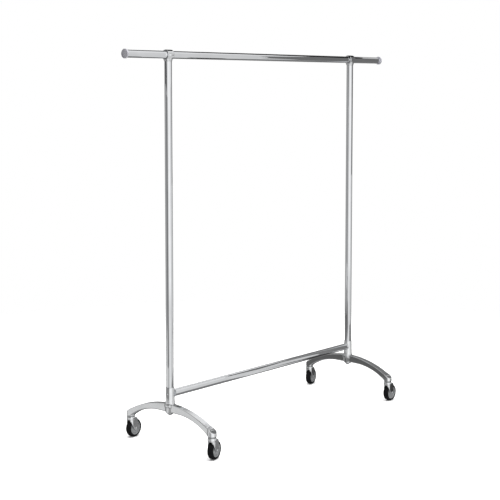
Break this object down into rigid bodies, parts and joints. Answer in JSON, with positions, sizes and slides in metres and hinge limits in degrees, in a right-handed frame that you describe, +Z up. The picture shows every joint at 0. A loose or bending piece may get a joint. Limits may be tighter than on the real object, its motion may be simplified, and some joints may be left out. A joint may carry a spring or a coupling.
{
  "type": "rolling clothes rack",
  "caption": "Freestanding rolling clothes rack: a round hanging bar on two posts, a lower cross bar, and arched cast feet on swivel casters",
  "frame": {"origin": "on the floor under the middle of the rack, midway between the two posts", "axes": "+X along the hanging bar, +Y across it along a foot, +Z up"},
  "size_m": [1.748, 0.5397, 1.6955],
  "materials": {
    "chrome_tube": "polished chrome plate on steel tube",
    "chrome_cast": "polished chrome plate on cast metal",
    "steel_hardware": "zinc-plated steel",
    "cap_plastic": "chrome-look moulded plastic",
    "hub_plastic": "grey moulded plastic",
    "tyre_rubber": "black rubber, fine mould texture"
  },
  "bodies": {
    "frame": {"bar_end_cap_left": "cap_plastic", "bar_end_cap_right": "cap_plastic", "caster_lock_washers": "steel_hardware", "caster_stem_left_front": "steel_hardware", "caster_stem_left_rear": "steel_hardware", "caster_stem_right_front": "steel_hardware", "caster_stem_right_rear": "steel_hardware", "connector_set_screws": "steel_hardware", "cross_bar_bolts": "steel_hardware", "cross_bar_end_plugs": "steel_hardware", "foot_casting_left": "chrome_cast", "foot_casting_right": "chrome_cast", "hanging_bar": "chrome_tube", "lower_cross_bar": "chrome_tube", "post_foot_bolts": "steel_hardware", "post_foot_plugs": "steel_hardware", "post_foot_washers": "steel_hardware", "post_left": "chrome_tube", "post_right": "chrome_tube", "post_top_screws": "steel_hardware", "top_connector_left": "chrome_cast", "top_connector_right": "chrome_cast"},
    "swivel_left_front": {"fork_left_front": "chrome_cast", "swivel_balls_left_front": "steel_hardware", "axle_bolt_left_front": "steel_hardware", "axle_nut_left_front": "steel_hardware", "axle_sleeve_left_front": "steel_hardware"},
    "wheel_left_front": {"hub_bush_left_front": "steel_hardware", "wheel_hub_left_front": "hub_plastic", "tyre_left_front": "tyre_rubber"},
    "swivel_left_rear": {"fork_left_rear": "chrome_cast", "swivel_balls_left_rear": "steel_hardware", "axle_bolt_left_rear": "steel_hardware", "axle_nut_left_rear": "steel_hardware", "axle_sleeve_left_rear": "steel_hardware"},
    "wheel_left_rear": {"hub_bush_left_rear": "steel_hardware", "wheel_hub_left_rear": "hub_plastic", "tyre_left_rear": "tyre_rubber"},
    "swivel_right_front": {"fork_right_front": "chrome_cast", "swivel_balls_right_front": "steel_hardware", "axle_bolt_right_front": "steel_hardware", "axle_nut_right_front": "steel_hardware", "axle_sleeve_right_front": "steel_hardware"},
    "wheel_right_front": {"hub_bush_right_front": "steel_hardware", "wheel_hub_right_front": "hub_plastic", "tyre_right_front": "tyre_rubber"},
    "swivel_right_rear": {"fork_right_rear": "chrome_cast", "swivel_balls_right_rear": "steel_hardware", "axle_bolt_right_rear": "steel_hardware", "axle_nut_right_rear": "steel_hardware", "axle_sleeve_right_rear": "steel_hardware"},
    "wheel_right_rear": {"hub_bush_right_rear": "steel_hardware", "wheel_hub_right_rear": "hub_plastic", "tyre_right_rear": "tyre_rubber"}
  },
  "joints": [
    {"name": "left_front_caster_swivel", "type": "hinge", "parent": "frame", "child": "swivel_left_front", "pos_m": [-0.628, -0.2465, 0.09], "axis": [0, 0, 1], "continuous": true},
    {"name": "left_front_wheel_spin", "type": "hinge", "parent": "swivel_left_front", "child": "wheel_left_front", "pos_m": [-0.6115, -0.24239, 0.04], "axis": [-0.2419, 0.9703, 0], "continuous": true},
    {"name": "left_rear_caster_swivel", "type": "hinge", "parent": "frame", "child": "swivel_left_rear", "pos_m": [-0.628, 0.2465, 0.09], "axis": [0, 0, 1], "continuous": true},
    {"name": "left_rear_wheel_spin", "type": "hinge", "parent": "swivel_left_rear", "child": "wheel_left_rear", "pos_m": [-0.61106, 0.24798, 0.04], "axis": [-0.0872, 0.9962, 0], "continuous": true},
    {"name": "right_front_caster_swivel", "type": "hinge", "parent": "frame", "child": "swivel_right_front", "pos_m": [0.628, -0.2465, 0.09], "axis": [0, 0, 1], "continuous": true},
    {"name": "right_front_wheel_spin", "type": "hinge", "parent": "swivel_right_front", "child": "wheel_right_front", "pos_m": [0.645, -0.2462, 0.04], "axis": [-0.0175, 0.9998, 0], "continuous": true},
    {"name": "right_rear_caster_swivel", "type": "hinge", "parent": "frame", "child": "swivel_right_rear", "pos_m": [0.628, 0.2465, 0.09], "axis": [0, 0, 1], "continuous": true},
    {"name": "right_rear_wheel_spin", "type": "hinge", "parent": "swivel_right_rear", "child": "wheel_right_rear", "pos_m": [0.64456, 0.25032, 0.04], "axis": [-0.225, 0.9744, 0], "continuous": true}
  ]
}
